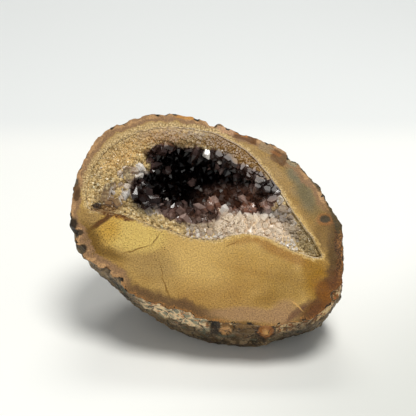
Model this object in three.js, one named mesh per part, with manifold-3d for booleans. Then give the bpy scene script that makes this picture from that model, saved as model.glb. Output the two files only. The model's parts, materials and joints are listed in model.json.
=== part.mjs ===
// A geode half: an egg-shaped agate nodule sawn through, with a crystal-lined hollow open in the cut.
// Units are millimetres, +Z up. The stone rests on a worn flat at z = 0 and its cut face leans back,
// facing -Y and up. The origin is the middle of the object's box, on the surface that it rests on.
// Shapes are worked out in the cut's own frame: u to the right, v up the cut, w out of the cut.
import * as THREE from "three";
import { mergeVertices } from "three/addons/utils/BufferGeometryUtils.js";
import Module from "manifold-3d";

const wasm = await Module();
wasm.setup();

// Driving dimensions
const CUT_LEAN = THREE.MathUtils.degToRad(45); // how far the cut leans back from upright
const STONE_DEPTH = 45; // from the cut to the back of the nodule
const REST_BELOW_CUT = 43; // from the cut's middle down to the resting flat
const BACK_POLE = [2, -3]; // u, v of the nodule's rearmost point
const BACK_FULLNESS = 0.58; // below 1 the back stays wide for longer before it closes
const SKIN_BULGE = 1.6; // how far the rind swells past the cut all round
const LOW_BULGE = 4.8; // and how much further under the cut's lower edge
const LOW_SIDE = new THREE.Vector3(-0.1, -0.995, 0); // the way there from the cut's middle
const HIP_BULGE = 5; // and how much further on the nodule's lower right
const HIP_SIDE = new THREE.Vector3(0.74, -0.67, 0); // the way there from the cut's middle
const CALM_DEPTH = 9; // how far behind the cut the rind's lumps reach their full height
const CALM_SHARE = 0.38; // the share of that height that they have at the cut
const CRUST = 3; // thickness of the quartz crust under its crystals
const GAP = 0.3; // clearance between the crust and the stone
const HOLLOW_DEPTH = 25; // from the cut to the deepest crystals
const HOLLOW_CORE = [-7, 19]; // u, v of the deepest place
const OVERCUT = 1.5; // how far the hollow's cutting solids stand out of the cut

// The sawn outline of the nodule, u and v
const OUTLINE = [
  [47.3, -3], [44.2, 7.2], [37.7, 17.9], [28.8, 27.9], [16.5, 35.2], [0.5, 41.5], [-14.2, 45],
  [-28.3, 42.6], [-39.4, 35.9], [-45.3, 26.2], [-48.9, 14], [-49.3, 2.5], [-45.3, -9.4],
  [-33, -19.2], [-21.5, -27.5], [-5, -32.2], [16, -36.6], [30.5, -34.8], [42.2, -28.9], [47.9, -17],
];

// The hollow, spoke by spoke from its right-hand tail. rim is where the crystals meet the agate in
// the cut, lip where they turn down into the dark, lipDepth how far the lip lies under the cut, and
// lean how far the wall has come in towards the core halfway down: below 0 it overhangs.
const SPOKES = [
  { rim: [40.5, -12], lip: [25, 3], lipDepth: 3, lean: 0.4 },
  { rim: [33.5, 0.5], lip: [26, 7], lipDepth: 2.5, lean: 0.35 },
  { rim: [27, 11], lip: [23.5, 12.5], lipDepth: 2, lean: 0.28 },
  { rim: [21, 20.5], lip: [18, 18.5], lipDepth: 2, lean: 0.16 },
  { rim: [14.3, 28.7], lip: [11, 24], lipDepth: 2, lean: 0.04 },
  { rim: [5, 34.8], lip: [3, 28.5], lipDepth: 2, lean: -0.06 },
  { rim: [-8, 38], lip: [-5, 32], lipDepth: 2, lean: -0.1 },
  { rim: [-20.5, 38], lip: [-14.5, 33], lipDepth: 2.2, lean: -0.08 },
  { rim: [-31.3, 34], lip: [-21.5, 29.5], lipDepth: 3, lean: 0 },
  { rim: [-39.6, 26.2], lip: [-24, 24.5], lipDepth: 4, lean: 0.1 },
  { rim: [-43.3, 16.3], lip: [-27, 18.5], lipDepth: 4.5, lean: 0.2 },
  { rim: [-42.5, 6], lip: [-26.5, 11], lipDepth: 4.5, lean: 0.25 },
  { rim: [-33.5, 5.5], lip: [-20, 7], lipDepth: 3.5, lean: 0.25 },
  { rim: [-23, 2], lip: [-12.5, 4], lipDepth: 3, lean: 0.28 },
  { rim: [-11, -2], lip: [-4.5, 1.5], lipDepth: 3, lean: 0.32 },
  { rim: [0.5, -5], lip: [3.5, 1.5], lipDepth: 3, lean: 0.36 },
  { rim: [11.5, -2], lip: [10, 3.5], lipDepth: 2.5, lean: 0.4 },
  { rim: [20, -4], lip: [16, 4], lipDepth: 3, lean: 0.42 },
  { rim: [30, -9.5], lip: [21.5, 3], lipDepth: 3.5, lean: 0.42 },
];

// How finely the surfaces are divided
const SKIN_SIDES = 84;
const SKIN_RINGS = 19;
const POLE_SPACING = 1.35; // above 1 the rings close up towards the back pole
const HOLLOW_SIDES = 60; // a multiple of 3, so that every third corner can be a crystal's point
const HOLLOW_RINGS = 12;
const POCKET_SIDES = 36; // the smooth pocket that the crust sits in
const POCKET_RINGS = 8;

// The close-grown crystals that cover the crust: six-sided points whose height goes by their width
const POINT_SLENDERNESS = 0.75;
const MOST_POINT = 1.9; // height of the largest of them
const FURROW = 0.25; // how deep the furrows between them lie

// The larger crystals that stand out of the crust, by the share of the way down from rim to core
const CRYSTAL_KINDS = [
  { count: 24, from: 0.36, to: 0.86, radius: 2.5, length: 5, apart: 6 },
  { count: 14, from: 0.12, to: 0.36, radius: 1.8, length: 3.2, apart: 5 },
];
const CRYSTAL_ROOT = 1.6; // how deep a crystal starts inside the crust
const SEED = 7;

// A repeatable random number generator
function randomFrom(seed) {
  let state = seed;
  return () => {
    state = (Math.imul(state, 1664525) + 1013904223) >>> 0;
    return state / 4294967296;
  };
}

// A fixed random number for a lattice point
function lattice(i, j, k) {
  let h = Math.imul(i, 374761393) ^ Math.imul(j, 668265263) ^ Math.imul(k, 1274126177);
  h = Math.imul(h ^ (h >>> 13), 1103515245);
  return ((h ^ (h >>> 16)) >>> 0) / 4294967296;
}

// Smooth noise from -1 to 1 whose lumps are about size across
function noise(p, size) {
  const cell = [p.x / size, p.y / size, p.z / size];
  const low = cell.map(Math.floor);
  const [fx, fy, fz] = cell.map((c, n) => THREE.MathUtils.smoothstep(c - low[n], 0, 1));
  const along = (j, k) =>
    THREE.MathUtils.lerp(lattice(low[0], j, k), lattice(low[0] + 1, j, k), fx);
  const across = (k) => THREE.MathUtils.lerp(along(low[1], k), along(low[1] + 1, k), fy);
  return 2 * THREE.MathUtils.lerp(across(low[2]), across(low[2] + 1), fz) - 1;
}

// A closed surface over rings that run anticlockwise, seen from +w, from the top one down
function closedLoft(rings, topPoint, bottomPoint) {
  const sides = rings[0].length;
  const points = [...rings.flat(), topPoint, bottomPoint];
  const top = points.length - 2;
  const bottom = points.length - 1;
  const faces = [];
  for (let i = 0; i < sides; i++) {
    const next = (i + 1) % sides;
    faces.push(top, i, next);
    for (let k = 0; k + 1 < rings.length; k++) {
      const [a, b] = [k * sides + i, k * sides + next];
      faces.push(a, a + sides, b, b, a + sides, b + sides);
    }
    const last = (rings.length - 1) * sides;
    faces.push(bottom, last + next, last + i);
  }
  const geometry = new THREE.BufferGeometry().setFromPoints(points);
  geometry.setIndex(faces);
  return geometry;
}

// A three.js geometry as a solid, and a solid as a flat-shaded three.js geometry
function solidOf(geometry) {
  const bare = new THREE.BufferGeometry();
  bare.setAttribute("position", geometry.getAttribute("position"));
  bare.setIndex(geometry.getIndex());
  const merged = mergeVertices(bare, 1e-4);
  return new wasm.Manifold(
    new wasm.Mesh({
      numProp: 3,
      vertProperties: new Float32Array(merged.getAttribute("position").array),
      triVerts: new Uint32Array(merged.getIndex().array),
    }),
  );
}

function geometryOf(solid) {
  const mesh = solid.getMesh();
  const indexed = new THREE.BufferGeometry();
  indexed.setAttribute("position", new THREE.BufferAttribute(mesh.vertProperties, mesh.numProp));
  indexed.setIndex(new THREE.BufferAttribute(mesh.triVerts, 1));
  const geometry = indexed.toNonIndexed();
  geometry.computeVertexNormals();
  return geometry;
}

// A closed curve through points of the cut plane
function closedCurve(points) {
  const through = points.map(([u, v]) => new THREE.Vector3(u, v, 0));
  return new THREE.CatmullRomCurve3(through, true, "centripetal");
}

// The lumps, ledges and pits of the rind at a point of the skin
function rindRelief(p) {
  const lumps = 1.4 * noise(p, 13) + 0.9 * noise(p, 6.5);
  const ledge = 0.8 * Math.round(1.4 * noise(p, 17));
  const pit = -3 * Math.max(0, noise(p, 9.5) - 0.4);
  const fromCut = THREE.MathUtils.smoothstep(-p.z, 0, CALM_DEPTH);
  return (lumps + ledge + pit) * THREE.MathUtils.lerp(CALM_SHARE, 1, fromCut);
}

// The nodule's skin at a place along the outline, 0 to 1, and down from the cut to the pole, 0 to 1
function skinPoint(outline, along, down) {
  const pole = new THREE.Vector3(...BACK_POLE, 0);
  const edge = outline.getPointAt(along);
  const outward = edge.clone().sub(pole).normalize();
  const turn = (Math.PI / 2) * down;
  const lowSide = THREE.MathUtils.smoothstep(outward.dot(LOW_SIDE), 0.7, 1);
  const hipSide = THREE.MathUtils.smoothstep(outward.dot(HIP_SIDE), 0.85, 1);
  const fullness = SKIN_BULGE + LOW_BULGE * lowSide + HIP_BULGE * hipSide;
  const bulge = fullness * Math.sin(Math.PI * Math.min(1, 1.15 * down));
  const point = pole.clone().lerp(edge, Math.cos(turn) ** BACK_FULLNESS);
  point.addScaledVector(outward, Math.max(0, bulge));
  point.z = -STONE_DEPTH * Math.sin(turn);
  const out = outward.multiplyScalar(Math.cos(turn));
  out.z = -Math.sin(turn);
  return point.addScaledVector(out, rindRelief(point));
}

// The whole nodule behind the cut
function nodule() {
  const outline = closedCurve(OUTLINE);
  const rings = [];
  for (let k = 0; k < SKIN_RINGS; k++) {
    const ring = [];
    for (let i = 0; i < SKIN_SIDES; i++) {
      ring.push(skinPoint(outline, i / SKIN_SIDES, 1 - (1 - k / SKIN_RINGS) ** POLE_SPACING));
    }
    rings.push(ring);
  }
  const middle = new THREE.Vector3(0, 0, 0);
  const back = new THREE.Vector3(...BACK_POLE, -STONE_DEPTH);
  return solidOf(closedLoft(rings, middle, back));
}

// The curve down the hollow's wall at one place round it, moved into the stone by grow and by gap
function hollowProfile(curves, along, grow, gap) {
  const core = new THREE.Vector3(...HOLLOW_CORE, 0);
  const rim = curves.rim.getPoint(along);
  const lip = curves.lip.getPoint(along);
  const [lipDepth, lean] = curves.shape.getPoint(along).toArray();
  const wall = lip.clone().lerp(core, lean);
  // the crust thins towards the cut, so each place moves by its own shares of grow
  const place = (p, outShare, depth, downShare) => {
    const outward = p.clone().sub(core).normalize();
    const moved = p.clone().addScaledVector(outward, outShare * grow + gap);
    moved.z = -(depth + downShare * grow + gap);
    return moved;
  };
  const through = [
    place(rim, 0.35, 0, 0.8),
    place(lip, 0.7, lipDepth, 0.8),
    place(wall, 1, 0.55 * HOLLOW_DEPTH, 0.3),
    core.clone().setZ(-(HOLLOW_DEPTH + grow + gap)),
  ];
  return new THREE.CatmullRomCurve3(through, false, "centripetal");
}

function hollowCurves() {
  return {
    rim: closedCurve(SPOKES.map((s) => s.rim)),
    lip: closedCurve(SPOKES.map((s) => s.lip)),
    shape: closedCurve(SPOKES.map((s) => [s.lipDepth, s.lean])),
  };
}

// A place on the hollow's wall, with the way out of the wall there and how far apart corners lie
function wallPlace(curves, along, down) {
  const at = (a, d) => hollowProfile(curves, (a + 1) % 1, 0, 0).getPoint(d);
  const step = 0.01;
  const point = at(along, down);
  const round = at(along + step, down).sub(at(along - step, down));
  const inward = at(along, Math.min(1, down + step)).sub(at(along, Math.max(0, down - step)));
  const spacing = round.length() / (2 * step * HOLLOW_SIDES);
  return { point, out: round.cross(inward).normalize(), spacing };
}

// The hollow as a solid that stands a little out of the cut, from places on its wall
function hollowLoft(sides, ringCount, deepest, placeOf) {
  const rings = [];
  for (let k = 0; k <= ringCount; k++) {
    const ring = [];
    for (let i = 0; i < sides; i++) {
      const point = placeOf(i, k, Math.max(0, k - 1) / ringCount);
      if (k === 0) point.z = OVERCUT;
      ring.push(point);
    }
    rings.push(ring);
  }
  const mouthMiddle = new THREE.Vector3(...HOLLOW_CORE, OVERCUT);
  const floor = new THREE.Vector3(...HOLLOW_CORE, -deepest);
  return solidOf(closedLoft(rings, mouthMiddle, floor));
}

// The smooth pocket in the agate, which the crust fills but for the gap
function pocket(gap) {
  const curves = hollowCurves();
  return hollowLoft(POCKET_SIDES, POCKET_RINGS, HOLLOW_DEPTH + CRUST + gap, (i, k, down) =>
    hollowProfile(curves, i / POCKET_SIDES, CRUST, gap).getPoint(down),
  );
}

// The open space inside the crust. Its rings are staggered by half a step, so that the corners lie
// in a triangular lattice and every third one is a crystal's point, with furrows round it.
function crystalHollow() {
  const curves = hollowCurves();
  const random = randomFrom(SEED);
  return hollowLoft(HOLLOW_SIDES, HOLLOW_RINGS, HOLLOW_DEPTH, (i, k, down) => {
    const along = ((i + k / 2) / HOLLOW_SIDES) % 1;
    const { point, out, spacing } = wallPlace(curves, along, down);
    if (k > 1) {
      const isPoint = (i + 3 * HOLLOW_SIDES - k) % 3 === 0;
      const height = Math.min(MOST_POINT, POINT_SLENDERNESS * spacing) * (0.5 + random());
      const sway = Math.min(0.5, 0.2 * spacing);
      point.addScaledVector(out, isPoint ? height : -FURROW * random());
      point.x += sway * (random() - 0.5);
      point.y += sway * (random() - 0.5);
    }
    return point;
  });
}

// One six-sided crystal with a pointed end, standing on its root along +Z
function crystalGeometry(radius, length, pointLength) {
  const shoulder = length - pointLength;
  const profile = [
    [0, -CRYSTAL_ROOT], [0.9 * radius, -CRYSTAL_ROOT], [radius, Math.max(0.2, shoulder)], [0, length],
  ];
  const geometry = new THREE.LatheGeometry(profile.map(([x, y]) => new THREE.Vector2(x, y)), 6);
  geometry.rotateX(Math.PI / 2);
  return geometry;
}

// The larger crystals as solids, none closer to another than its kind can grow
function crystals() {
  const random = randomFrom(SEED);
  const curves = hollowCurves();
  const placed = [];
  for (const kind of CRYSTAL_KINDS) {
    let tries = 0;
    let count = 0;
    while (count < kind.count && tries < 3000) {
      tries++;
      const down = THREE.MathUtils.lerp(kind.from, kind.to, random());
      const { point, out } = wallPlace(curves, random(), down);
      if (placed.some((c) => c.point.distanceTo(point) < kind.apart)) continue;
      const size = 0.75 + 0.5 * random();
      const radius = kind.radius * size;
      const geometry = crystalGeometry(radius, kind.length * size, 1.35 * radius);
      const sway = new THREE.Vector3(random() - 0.5, random() - 0.5, random() - 0.5);
      const axis = out.clone().addScaledVector(sway, 0.55).normalize();
      const turn = new THREE.Quaternion().setFromUnitVectors(new THREE.Vector3(0, 0, 1), axis);
      geometry.rotateZ(random() * Math.PI);
      geometry.applyQuaternion(turn);
      geometry.translate(point.x, point.y, point.z);
      placed.push({ point, solid: solidOf(geometry) });
      count++;
    }
  }
  return placed.map((c) => c.solid);
}

// The quartz crust: a shell that lines the hollow, with its crystals grown together on it
function crystalCrust() {
  const outer = pocket(0);
  let crust = outer.subtract(crystalHollow());
  for (const crystal of crystals()) crust = crust.add(crystal);
  const inFront = new THREE.BoxGeometry(200, 200, 40).translate(0, 0, 20);
  return crust.intersect(outer).subtract(solidOf(inFront));
}

// Everything under the resting flat, as a block in the cut's frame
function floorBlock(cutToWorld) {
  const block = new THREE.BoxGeometry(300, 300, 60).translate(0, 0, -30);
  return solidOf(block.applyMatrix4(cutToWorld.clone().invert()));
}

function stone(cutToWorld) {
  return nodule().subtract(pocket(GAP)).subtract(floorBlock(cutToWorld));
}

const cutToWorld = new THREE.Matrix4()
  .makeTranslation(0, 0, REST_BELOW_CUT)
  .multiply(new THREE.Matrix4().makeRotationX(CUT_LEAN));

const agate = new THREE.MeshStandardMaterial({ color: 0x9a7f52, roughness: 0.75, metalness: 0 });
const quartz = new THREE.MeshStandardMaterial({ color: 0xb9a7a6, roughness: 0.25, metalness: 0 });

const stoneMesh = new THREE.Mesh(geometryOf(stone(cutToWorld)), agate);
stoneMesh.name = "agate_stone";
const crustMesh = new THREE.Mesh(geometryOf(crystalCrust()), quartz);
crustMesh.name = "crystal_crust";

const cutFrame = new THREE.Group();
cutFrame.applyMatrix4(cutToWorld);
cutFrame.add(stoneMesh, crustMesh);

// The middle of the stone's box, seen from above, goes to the origin
const geode = new THREE.Group();
geode.add(cutFrame);
geode.updateMatrixWorld(true);
const middle = new THREE.Box3().setFromObject(stoneMesh, true).getCenter(new THREE.Vector3());
cutFrame.position.x -= middle.x;
cutFrame.position.y -= middle.y;

export default geode;
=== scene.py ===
"""A geode half: a sawn agate nodule whose open hollow is lined with quartz and amethyst crystals.

Lengths named here are in millimetres, and metres(...) turns them into the frame's unit. The cut has
its own axes: u to the right, v up the cut and w out of it, from the middle of the cut.
"""

import json
import math

import bpy
import numpy as np
from mathutils import Matrix, Vector, kdtree
from mathutils.bvhtree import BVHTree
from mathutils.geometry import area_tri, tessellate_polygon


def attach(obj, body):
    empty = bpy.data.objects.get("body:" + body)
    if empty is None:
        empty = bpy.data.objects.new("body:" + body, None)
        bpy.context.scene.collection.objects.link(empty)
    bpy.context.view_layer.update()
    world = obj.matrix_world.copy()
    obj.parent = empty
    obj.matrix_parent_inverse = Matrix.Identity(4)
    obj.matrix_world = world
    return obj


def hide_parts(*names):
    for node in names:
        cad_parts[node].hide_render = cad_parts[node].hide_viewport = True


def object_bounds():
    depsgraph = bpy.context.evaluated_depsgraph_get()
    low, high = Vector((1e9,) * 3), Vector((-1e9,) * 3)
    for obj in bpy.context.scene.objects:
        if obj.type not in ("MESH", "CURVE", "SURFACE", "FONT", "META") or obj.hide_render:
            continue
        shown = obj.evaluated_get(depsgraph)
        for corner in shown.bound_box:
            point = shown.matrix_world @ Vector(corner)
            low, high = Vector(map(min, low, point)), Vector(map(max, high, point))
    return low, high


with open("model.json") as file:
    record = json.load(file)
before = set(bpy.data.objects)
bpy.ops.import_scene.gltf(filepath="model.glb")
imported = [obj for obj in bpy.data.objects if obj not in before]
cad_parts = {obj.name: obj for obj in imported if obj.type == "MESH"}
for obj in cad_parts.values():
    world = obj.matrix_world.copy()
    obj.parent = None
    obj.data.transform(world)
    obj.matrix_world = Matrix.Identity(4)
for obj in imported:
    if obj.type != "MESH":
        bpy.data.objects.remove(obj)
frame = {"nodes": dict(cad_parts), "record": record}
cad_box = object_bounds()

MM = 0.001
SEED = 11

# The cut's own axes, worked out from the mount that lies on it
CUT_MOUNT_AT = (5.0, -20.0)  # u, v of that mount
cut_mount = next(m for m in frame["record"]["mounts"] if m["name"] == "cut_face")
CUT_OUT = Vector(cut_mount["axis"]).normalized()
CUT_RIGHT = Vector((1, 0, 0))
CUT_UP = CUT_OUT.cross(CUT_RIGHT)
CUT_MIDDLE = Vector(cut_mount["pos_m"]) - (CUT_RIGHT * CUT_MOUNT_AT[0] + CUT_UP * CUT_MOUNT_AT[1]) * MM
CUT_AXES = Matrix((CUT_RIGHT, CUT_UP, CUT_OUT))  # takes a direction into the cut's axes
IN_CUT = 0.03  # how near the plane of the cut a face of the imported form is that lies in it
FACES_OUT = 0.99  # how nearly such a face looks straight out of the cut

# The rind
RIND_GRAIN = 0.8  # size of the rind's mesh
RIND_LIFT = 2.2  # how far the rind is raised before its relief is carved, to keep the stone's size
BOX_EASE = 0.45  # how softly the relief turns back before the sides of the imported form's box
ABOVE_CUT = 3.0  # how far the nodule is made past the cut before it is sawn
REST_CALM = (0.4, 3.0)  # heights between which the rind's relief comes in above the resting flat
POCKET_WAVERS = ((6.0, 1.2), (2.0, 0.7))  # size and depth of the waves in the pocket's wall

# Bumps and notches of the rind near the cut: u, v, w, radius, height
CHIPS = (
    (-49.8, 0.8, -2, 3.0, 1.6),  # dark knob on the left
    (-47.2, -2.6, 0, 2.4, -1.5),
    (-45.4, -8.6, 0, 2.6, -1.7),
    (-48.6, 17, 0, 2.4, -1.0),
    (-36.4, -17.2, 0, 2.4, -1.5),
    (-32.2, -20.6, 0, 2.0, -1.5),
    (-16.6, 44.6, 0, 2.0, -1.1),
    (1.4, 41, 0, 2.4, -1.3),
    (30.4, 26.6, 0, 2.2, -1.1),
    (44.4, -25.4, 0, 2.8, -1.4),
    (1.4, -35.5, -3, 3.2, -2.6),  # wedge broken out under the lower edge
    (10.5, -38, -3.5, 4.4, 0.9),  # brown dome to its right
    (19.5, -38.4, -3, 3.4, 2.0),  # round concretion
)

# Where a face of the stone comes from
FROM_RIND = 1
FROM_SAW = 2
FROM_POCKET = 3

# The saw cut
CUT_GRAIN = 0.8  # size of the cut's mesh
CUT_BLANK = (112.0, 96.0)  # width and height of the plane that the saw runs in

# The crust of crystals
CRUST_GAP = 0.03  # the clearance that the crust keeps to the stone
RIM_DROP = 1.2  # how far under the cut the crust's body stops, for crystals to rise from, at v = 0
RIM_SLOPE = 0.026  # how much less that is for each millimetre further up the cut
RIM_SKIN = 0.45  # the crust's thin outermost layer, which reaches the cut


def metres(value):
    return value * MM


def cut_point(u, v, w=0.0):
    """The place in the frame of a point given in the cut's axes."""
    return CUT_MIDDLE + (CUT_RIGHT * u + CUT_UP * v + CUT_OUT * w) * MM


def in_cut_axes(points):
    """Rows of frame points as rows of u, v, w in millimetres."""
    return (np.asarray(points) - np.array(CUT_MIDDLE)) @ np.array(CUT_AXES).T / MM


def srgb(red, green, blue):
    """A screen colour, 0 to 255, as the linear colour that materials take."""
    def linear(c):
        c /= 255
        return c / 12.92 if c <= 0.04045 else ((c + 0.055) / 1.055) ** 2.4
    return (linear(red), linear(green), linear(blue), 1.0)


def smooth(value, low, high):
    t = np.clip((value - low) / (high - low), 0, 1)
    return t * t * (3 - 2 * t)


# Working on pieces

def make_active(piece):
    if bpy.context.object and bpy.context.object.mode != "OBJECT":
        bpy.ops.object.mode_set(mode="OBJECT")
    bpy.ops.object.select_all(action="DESELECT")
    piece.select_set(True)
    bpy.context.view_layer.objects.active = piece


def finish_with(piece, kind, **settings):
    """Adds one modifier and applies it."""
    make_active(piece)
    modifier = piece.modifiers.new(kind.title(), kind)
    for name, value in settings.items():
        setattr(modifier, name, value)
    bpy.ops.object.modifier_apply(modifier=modifier.name)


def combine(piece, operation, other):
    finish_with(piece, "BOOLEAN", operation=operation, solver="MANIFOLD", object=other)


def duplicate(piece):
    copied = piece.copy()
    copied.data = piece.data.copy()
    bpy.context.scene.collection.objects.link(copied)
    return copied


def delete_piece(piece):
    mesh = piece.data
    bpy.data.objects.remove(piece)
    bpy.data.meshes.remove(mesh)


def copy_of_node(node, name):
    """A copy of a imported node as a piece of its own, with its loose triangles joined up."""
    piece = bpy.data.objects.new(name, frame["nodes"][node].data.copy())
    bpy.context.scene.collection.objects.link(piece)
    piece.data.materials.clear()
    make_active(piece)
    bpy.ops.object.mode_set(mode="EDIT")
    bpy.ops.mesh.select_all(action="SELECT")
    bpy.ops.mesh.remove_doubles(threshold=metres(0.0005))
    bpy.ops.object.mode_set(mode="OBJECT")
    return piece


def coords(mesh):
    flat = np.empty(len(mesh.vertices) * 3)
    mesh.vertices.foreach_get("co", flat)
    return flat.reshape(-1, 3)


def face_facts(mesh):
    """Every face's middle and normal."""
    middle = np.empty(len(mesh.polygons) * 3)
    normal = np.empty(len(mesh.polygons) * 3)
    mesh.polygons.foreach_get("center", middle)
    mesh.polygons.foreach_get("normal", normal)
    return middle.reshape(-1, 3), normal.reshape(-1, 3)


def edit_faces(piece, chosen):
    """Opens the piece in edit mode with the chosen faces selected."""
    make_active(piece)
    mesh = piece.data
    bpy.context.tool_settings.mesh_select_mode = (False, False, True)
    mesh.vertices.foreach_set("select", np.zeros(len(mesh.vertices), bool))
    mesh.edges.foreach_set("select", np.zeros(len(mesh.edges), bool))
    mesh.polygons.foreach_set("select", np.asarray(chosen, bool))
    bpy.ops.object.mode_set(mode="EDIT")


def lies_in_cut(mesh):
    """Which faces lie in the plane of the cut and face out of it."""
    middle, normal = face_facts(mesh)
    height = in_cut_axes(middle)[:, 2]
    return (np.abs(height) < IN_CUT) & (normal @ np.array(CUT_OUT) > FACES_OUT)


def close_past_cut(piece, reach):
    """Carries an open edge that lies in the cut straight on out of it, and closes it there."""
    make_active(piece)
    bpy.ops.object.mode_set(mode="EDIT")
    bpy.context.tool_settings.mesh_select_mode = (False, True, False)
    bpy.ops.mesh.select_all(action="DESELECT")
    bpy.ops.mesh.select_non_manifold()
    bpy.ops.mesh.extrude_region_move(TRANSFORM_OT_translate={"value": CUT_OUT * metres(reach)})
    bpy.ops.mesh.edge_face_add()
    bpy.ops.mesh.select_all(action="SELECT")
    bpy.ops.mesh.normals_make_consistent(inside=False)
    bpy.ops.object.mode_set(mode="OBJECT")


# The nodule's skin and the pocket for the crust

def walls_of(node):
    """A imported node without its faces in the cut: its outer and its inner wall, closed past the cut."""
    whole = copy_of_node(node, node + "_wall")
    edit_faces(whole, lies_in_cut(whole.data))
    bpy.ops.mesh.delete(type="FACE")
    bpy.ops.mesh.select_all(action="SELECT")
    bpy.ops.mesh.separate(type="LOOSE")
    bpy.ops.object.mode_set(mode="OBJECT")
    parts = sorted(bpy.context.selected_objects, key=lambda o: -sum(p.area for p in o.data.polygons))
    for crumb in parts[2:]:
        delete_piece(crumb)
    for wall in parts[:2]:
        close_past_cut(wall, ABOVE_CUT)
    return sorted(parts[:2], key=lambda o: -max(o.dimensions))


def natural_pocket(pocket):
    """Rounds the pocket's facets off and makes its edge wander, mostly inwards, as grown agate's does."""
    finish_with(pocket, "SUBSURF", levels=2, render_levels=2)
    for size, amount in POCKET_WAVERS:
        texture = rind_texture(f"pocket_waver_{size:.0f}", "CLOUDS", size, noise_depth=1)
        finish_with(
            pocket, "DISPLACE", texture=texture, strength=metres(amount), mid_level=0.7,
            texture_coords="LOCAL",
        )


def rind_texture(name, kind, size, **settings):
    texture = bpy.data.textures.new(name, kind)
    texture.noise_scale = metres(size)
    for key, value in settings.items():
        setattr(texture, key, value)
    return texture


def roughen(skin):
    """Carves the rind's lumps, broken blocks, pits and grain."""
    heights = coords(skin.data)[:, 2] / MM
    weights = smooth(heights, *REST_CALM)
    group = skin.vertex_groups.new(name="above_rest")
    for index, weight in enumerate(weights):
        group.add([index], float(weight), "REPLACE")
    finish_with(skin, "DISPLACE", strength=metres(RIND_LIFT), mid_level=0.0, vertex_group="above_rest")
    carving = [
        (rind_texture("rind_lumps", "CLOUDS", 8.0, noise_depth=2), 1.5),
        (rind_texture("rind_blocks", "VORONOI", 5.0, weight_1=-1.0, weight_2=1.0, noise_intensity=1.7), 1.2),
        (rind_texture("rind_pits", "VORONOI", 2.4, noise_intensity=1.2), 0.7),
        (rind_texture("rind_grain", "CLOUDS", 1.0, noise_depth=1), 0.5),
    ]
    for texture, depth in carving:
        finish_with(
            skin, "DISPLACE", texture=texture, strength=metres(depth), mid_level=1.0,
            texture_coords="LOCAL", vertex_group="above_rest",
        )
    skin.vertex_groups.clear()
    raise_and_chip(skin.data)
    keep_in_box(skin.data)


def raise_and_chip(mesh):
    """Adds the few bumps and notches that stand out on the rind near the cut."""
    points = coords(mesh)
    placed = in_cut_axes(points)
    outward = placed * (1, 1, 0)
    outward /= np.linalg.norm(outward, axis=1, keepdims=True)
    for *middle, radius, height in CHIPS:
        far = np.linalg.norm(placed - middle, axis=1) / radius
        placed += outward * (height * (1 - smooth(far, 0.35, 1)))[:, None]
    points = placed * MM @ np.array(CUT_AXES) + np.array(CUT_MIDDLE)
    mesh.vertices.foreach_set("co", points.ravel())


def keep_in_box(mesh):
    """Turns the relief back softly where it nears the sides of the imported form's box."""
    points = coords(mesh)
    low, high = cad_box
    ease = metres(BOX_EASE)
    for axis in range(3):
        room = high[axis] - points[:, axis]
        points[:, axis] = high[axis] - (room + np.sqrt(room ** 2 + 4 * ease ** 2)) / 2
        if axis < 2:
            room = points[:, axis] - low[axis]
            points[:, axis] = low[axis] + (room + np.sqrt(room ** 2 + 4 * ease ** 2)) / 2
    points[:, 2] = np.maximum(points[:, 2], 0)
    mesh.vertices.foreach_set("co", points.ravel())
    mesh.update()


def saw_block(under=0.0, slope=0.0):
    """The stone's missing side: a finely divided plane in the cut or under it, made solid outwards."""
    across, up = CUT_BLANK
    bpy.ops.object.select_all(action="DESELECT")
    bpy.ops.mesh.primitive_grid_add(
        x_subdivisions=round(across / CUT_GRAIN), y_subdivisions=round(up / CUT_GRAIN), size=1
    )
    block = bpy.context.object
    block.name = "saw_block"
    block.data.transform(Matrix.Diagonal((metres(across), metres(up), 1, 1)))
    turn = CUT_AXES.transposed() @ Matrix.Rotation(math.atan(slope), 3, "X")
    block.data.transform(Matrix.LocRotScale(cut_point(0, 0, -under), turn.to_quaternion(), None))
    make_active(block)
    bpy.ops.object.mode_set(mode="EDIT")
    bpy.ops.mesh.select_all(action="SELECT")
    bpy.ops.mesh.extrude_region_move(TRANSFORM_OT_translate={"value": CUT_OUT * metres(4 * ABOVE_CUT)})
    bpy.ops.mesh.select_all(action="SELECT")
    bpy.ops.mesh.normals_make_consistent(inside=False)
    bpy.ops.object.mode_set(mode="OBJECT")
    mark(block, "origin", FROM_SAW)
    return block


def loop_points(mesh, first, second):
    """The middles of the edges at which faces of one kind meet faces of another."""
    kinds = {}
    for polygon in mesh.polygons:
        for key in polygon.edge_keys:
            kinds.setdefault(key, []).append(polygon.index)
    points = []
    for (a, b), faces in kinds.items():
        met = [(bool(first[f]), bool(second[f])) for f in faces]
        if any(m[0] for m in met) and any(m[1] for m in met):
            points.append((mesh.vertices[a].co + mesh.vertices[b].co) / 2)
    return points


def distances(points, targets):
    """How far each point is from the nearest target, in millimetres."""
    tree = kdtree.KDTree(len(targets))
    for index, target in enumerate(targets):
        tree.insert(target, index)
    tree.balance()
    return np.array([tree.find(Vector(p))[2] / MM for p in points])


def store(mesh, name, values, domain="POINT"):
    layer = mesh.attributes.new(name, "FLOAT", domain)
    layer.data.foreach_set("value", np.asarray(values, np.float32))


def mark(piece, name, value):
    """Gives every face of a piece the same value, which its faces keep through a boolean."""
    store(piece.data, name, np.full(len(piece.data.polygons), value), "FACE")


def marks(mesh, name):
    values = np.empty(len(mesh.polygons), np.float32)
    mesh.attributes[name].data.foreach_get("value", values)
    return values


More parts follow.
